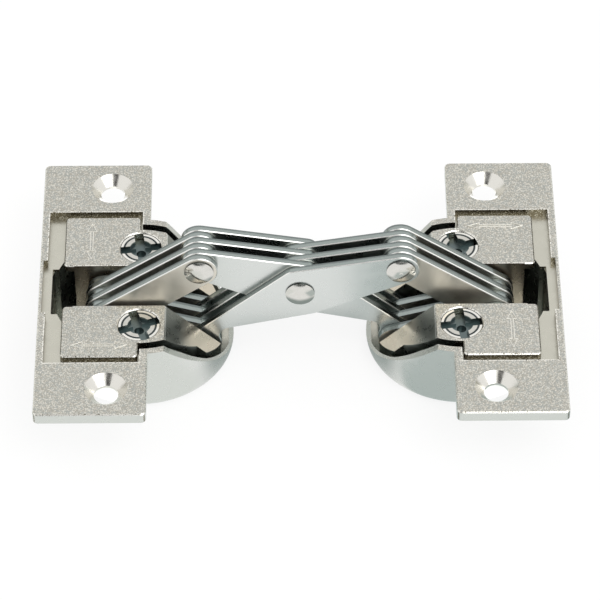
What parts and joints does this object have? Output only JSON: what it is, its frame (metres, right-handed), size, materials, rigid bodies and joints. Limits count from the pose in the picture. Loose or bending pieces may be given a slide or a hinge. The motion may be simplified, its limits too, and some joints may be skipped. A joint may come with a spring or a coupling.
{
  "type": "mitre cabinet hinge",
  "caption": "Concealed mitre hinge: flanged cup housings joined by crossed, interleaved levers that fold about a remote centre, with cams for side and height adjustment.",
  "frame": {"origin": "on the plane of the two cup undersides, midway between the halves, hinge lying flat and open at 90 degrees", "axes": "+X across the hinge from the left half to the right, +Y along the pivots, +Z out of the flange faces"},
  "size_m": [0.0972, 0.065, 0.0262],
  "materials": {
    "zinc_casting": "nickel-plated zinc, satin and finely textured",
    "cam_steel": "nickel-plated, bright",
    "lever_steel": "nickel-plated steel, smooth",
    "rivet_steel": "nickel-plated, polished"
  },
  "bodies": {
    "housing_left": {"housing_left": "zinc_casting"},
    "guide_left": {"guide_block_left": "lever_steel"},
    "carrier_left": {"carrier_left": "zinc_casting", "inner_pin_left": "rivet_steel", "outer_pin_left": "rivet_steel", "base_plate_1_left": "lever_steel", "base_plate_2_left": "lever_steel", "base_plate_3_left": "lever_steel"},
    "side_cam_left": {"side_cam_left": "cam_steel"},
    "height_cam_left": {"height_cam_left": "cam_steel"},
    "short_links_left": {"short_link_1_left": "lever_steel", "short_link_2_left": "lever_steel", "short_link_3_left": "lever_steel"},
    "long_levers_left": {"long_lever_1_left": "lever_steel", "long_lever_2_left": "lever_steel", "long_lever_3_left": "lever_steel", "centre_rivet": "rivet_steel", "knuckle_rivet_right": "rivet_steel"},
    "long_levers_right": {"long_lever_1_right": "lever_steel", "long_lever_2_right": "lever_steel", "long_lever_3_right": "lever_steel", "knuckle_rivet_left": "rivet_steel"},
    "carrier_right": {"carrier_right": "zinc_casting", "inner_pin_right": "rivet_steel", "outer_pin_right": "rivet_steel", "base_plate_1_right": "lever_steel", "base_plate_2_right": "lever_steel", "base_plate_3_right": "lever_steel"},
    "short_links_right": {"short_link_1_right": "lever_steel", "short_link_2_right": "lever_steel", "short_link_3_right": "lever_steel"},
    "side_cam_right": {"side_cam_right": "cam_steel"},
    "height_cam_right": {"height_cam_right": "cam_steel"},
    "guide_right": {"guide_block_right": "lever_steel"},
    "housing_right": {"housing_right": "zinc_casting"}
  },
  "joints": [
    {"name": "side_adjust_left", "type": "slide", "parent": "housing_left", "child": "guide_left", "axis": [-1, 0, 0], "range_m": [0, 0.0012]},
    {"name": "height_adjust_left", "type": "slide", "parent": "guide_left", "child": "carrier_left", "axis": [0, 1, 0], "range_m": [-0.0011, 0.0011]},
    {"name": "side_cam_turn_left", "type": "hinge", "parent": "carrier_left", "child": "side_cam_left", "pos_m": [-0.0298, -0.01, 0.0148], "axis": [0, 0, 1], "range_deg": [-54, 1]},
    {"name": "height_cam_turn_left", "type": "hinge", "parent": "carrier_left", "child": "height_cam_left", "pos_m": [-0.0298, 0.01, 0.0148], "axis": [0, 0, 1], "range_deg": [-55, 55]},
    {"name": "hinge_turn", "type": "hinge", "parent": "carrier_left", "child": "long_levers_left", "pos_m": [-0.0179, 0, 0.004], "axis": [0, -1, 0], "range_deg": [-30, 90]},
    {"name": "short_link_turn_left", "type": "hinge", "parent": "carrier_left", "child": "short_links_left", "pos_m": [-0.0365, 0, 0.0097], "axis": [0, -1, 0], "range_deg": [-30, 90]},
    {"name": "centre_turn", "type": "hinge", "parent": "long_levers_left", "child": "long_levers_right", "pos_m": [0, 0, 0.0171], "axis": [0, -1, 0], "range_deg": [-90, 30]},
    {"name": "carrier_turn_right", "type": "hinge", "parent": "long_levers_right", "child": "carrier_right", "pos_m": [0.0179, 0, 0.004], "axis": [0, -1, 0], "range_deg": [-30, 90]},
    {"name": "short_link_turn_right", "type": "hinge", "parent": "carrier_right", "child": "short_links_right", "pos_m": [0.0365, 0, 0.0097], "axis": [0, -1, 0], "range_deg": [-90, 30]},
    {"name": "side_cam_turn_right", "type": "hinge", "parent": "carrier_right", "child": "side_cam_right", "pos_m": [0.0298, 0.01, 0.0148], "axis": [0, 0, 1], "range_deg": [-54, 1]},
    {"name": "height_cam_turn_right", "type": "hinge", "parent": "carrier_right", "child": "height_cam_right", "pos_m": [0.0298, -0.01, 0.0148], "axis": [0, 0, 1], "range_deg": [-55, 55]},
    {"name": "height_adjust_right", "type": "slide", "parent": "carrier_right", "child": "guide_right", "axis": [0, 1, 0], "range_m": [-0.0011, 0.0011]},
    {"name": "side_adjust_right", "type": "slide", "parent": "guide_right", "child": "housing_right", "axis": [-1, 0, 0], "range_m": [0, 0.0012]}
  ],
  "couplings": [
    {"joint": "side_cam_turn_left", "follows": "side_adjust_left", "rad_per_m": -767.59},
    {"joint": "height_cam_turn_left", "follows": "height_adjust_left", "rad_per_m": -865.83},
    {"joint": "side_cam_turn_right", "follows": "side_adjust_right", "rad_per_m": -767.59},
    {"joint": "height_cam_turn_right", "follows": "height_adjust_right", "rad_per_m": -865.83},
    {"joint": "short_link_turn_left", "follows": "hinge_turn", "ratio": 1},
    {"joint": "centre_turn", "follows": "hinge_turn", "ratio": -1},
    {"joint": "carrier_turn_right", "follows": "hinge_turn", "ratio": 1},
    {"joint": "short_link_turn_right", "follows": "hinge_turn", "ratio": -1}
  ]
}
